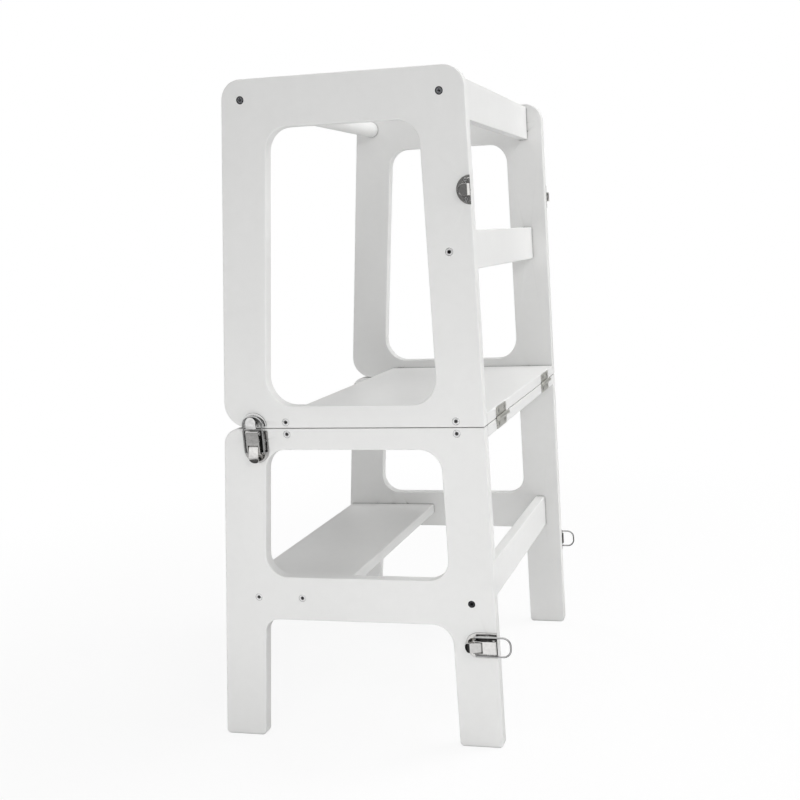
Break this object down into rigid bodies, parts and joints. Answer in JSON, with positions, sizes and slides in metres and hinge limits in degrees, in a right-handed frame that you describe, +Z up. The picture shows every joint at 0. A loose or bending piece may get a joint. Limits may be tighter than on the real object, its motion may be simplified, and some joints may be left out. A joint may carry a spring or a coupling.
{
  "type": "toddler kitchen helper stool",
  "caption": "White board learning tower for a toddler, with a step, a platform and guard rails; its hinged upper half folds over to the front to make a low table and is held by draw latches.",
  "frame": {"origin": "middle of the tower's footprint, on the floor", "axes": "+Z up; +X to the front, where the hinges and guard rails are; +Y to the far side panel, so a child climbs in from -X"},
  "size_m": [0.4332, 0.484, 0.9],
  "materials": {
    "white_board": "white satin lacquered board with rounded edges",
    "white_bar": "white lacquered round bar",
    "beech": "plain beech",
    "bright_screw": "zinc plated",
    "dark_screw": "burnished",
    "nickel": "nickel plated, satin",
    "nickel_screw": "nickel plated",
    "chrome": "polished chrome on pressed sheet",
    "chrome_wire": "polished chrome wire",
    "chrome_rivet": "polished rivet",
    "chrome_screw": "polished small screw"
  },
  "bodies": {
    "lower_frame": {"lower_side_panel_near": "white_board", "lower_side_panel_far": "white_board", "lower_platform_board": "white_board", "step_board": "white_board", "lower_front_rail": "white_board", "lower_platform_screws": "bright_screw", "step_screws": "bright_screw", "lower_rail_screws": "dark_screw", "lower_dowels": "beech", "hinge_lower_leaf_near": "nickel", "hinge_lower_leaf_far": "nickel", "hinge_pin_near": "nickel", "hinge_pin_far": "nickel", "hinge_lower_screws": "nickel_screw", "tower_latch_base_near": "chrome", "tower_latch_base_far": "chrome", "table_latch_base_near": "chrome", "table_latch_base_far": "chrome", "tower_lever_pin_near": "chrome_rivet", "tower_lever_pin_far": "chrome_rivet", "table_lever_pin_near": "chrome_rivet", "table_lever_pin_far": "chrome_rivet", "latch_base_screws": "chrome_screw"},
    "upper_frame": {"upper_side_panel_near": "white_board", "upper_side_panel_far": "white_board", "upper_platform_board": "white_board", "top_front_rail": "white_board", "middle_front_rail": "white_board", "rear_safety_bar": "white_bar", "upper_platform_screws": "bright_screw", "top_screws": "dark_screw", "middle_rail_screws": "bright_screw", "upper_dowels": "beech", "hinge_upper_leaf_near": "nickel", "hinge_upper_leaf_far": "nickel", "hinge_upper_screws": "nickel_screw", "tower_catch_near": "chrome", "tower_catch_far": "chrome", "table_catch_near": "chrome", "table_catch_far": "chrome", "catch_screws": "chrome_screw"},
    "tower_lever_near": {"tower_lever_near": "chrome"},
    "tower_bail_near": {"tower_bail_near": "chrome_wire"},
    "tower_lever_far": {"tower_lever_far": "chrome"},
    "tower_bail_far": {"tower_bail_far": "chrome_wire"},
    "table_lever_near": {"table_lever_near": "chrome"},
    "table_bail_near": {"table_bail_near": "chrome_wire"},
    "table_lever_far": {"table_lever_far": "chrome"},
    "table_bail_far": {"table_bail_far": "chrome_wire"}
  },
  "joints": [
    {"name": "upper_fold", "type": "hinge", "parent": "lower_frame", "child": "upper_frame", "pos_m": [0.19889, 0, 0.45], "axis": [0, 1, 0], "range_deg": [0, 180]},
    {"name": "tower_lever_near_open", "type": "hinge", "parent": "lower_frame", "child": "tower_lever_near", "pos_m": [-0.12531, -0.236, 0.4438], "axis": [-1, 0, 0], "range_deg": [0, 90]},
    {"name": "tower_bail_near_swing", "type": "hinge", "parent": "tower_lever_near", "child": "tower_bail_near", "pos_m": [-0.12531, -0.2354, 0.418], "axis": [-1, 0, 0], "range_deg": [-60, 0]},
    {"name": "tower_lever_far_open", "type": "hinge", "parent": "lower_frame", "child": "tower_lever_far", "pos_m": [-0.12531, 0.236, 0.4438], "axis": [1, 0, 0], "range_deg": [0, 90]},
    {"name": "tower_bail_far_swing", "type": "hinge", "parent": "tower_lever_far", "child": "tower_bail_far", "pos_m": [-0.12531, 0.2354, 0.418], "axis": [1, 0, 0], "range_deg": [-60, 0]},
    {"name": "table_lever_near_open", "type": "hinge", "parent": "lower_frame", "child": "table_lever_near", "pos_m": [0.19269, -0.236, 0.15], "axis": [0, 0, 1], "range_deg": [0, 90]},
    {"name": "table_bail_near_swing", "type": "hinge", "parent": "table_lever_near", "child": "table_bail_near", "pos_m": [0.16689, -0.2354, 0.15], "axis": [0, 0, 1], "range_deg": [-60, 0]},
    {"name": "table_lever_far_open", "type": "hinge", "parent": "lower_frame", "child": "table_lever_far", "pos_m": [0.19269, 0.236, 0.15], "axis": [0, 0, -1], "range_deg": [0, 90]},
    {"name": "table_bail_far_swing", "type": "hinge", "parent": "table_lever_far", "child": "table_bail_far", "pos_m": [0.16689, 0.2354, 0.15], "axis": [0, 0, -1], "range_deg": [-60, 0]}
  ],
  "couplings": [
    {"joint": "tower_bail_near_swing", "follows": "tower_lever_near_open", "ratio": -0.62},
    {"joint": "tower_bail_far_swing", "follows": "tower_lever_far_open", "ratio": -0.62},
    {"joint": "table_bail_near_swing", "follows": "table_lever_near_open", "ratio": -0.62},
    {"joint": "table_bail_far_swing", "follows": "table_lever_far_open", "ratio": -0.62}
  ]
}
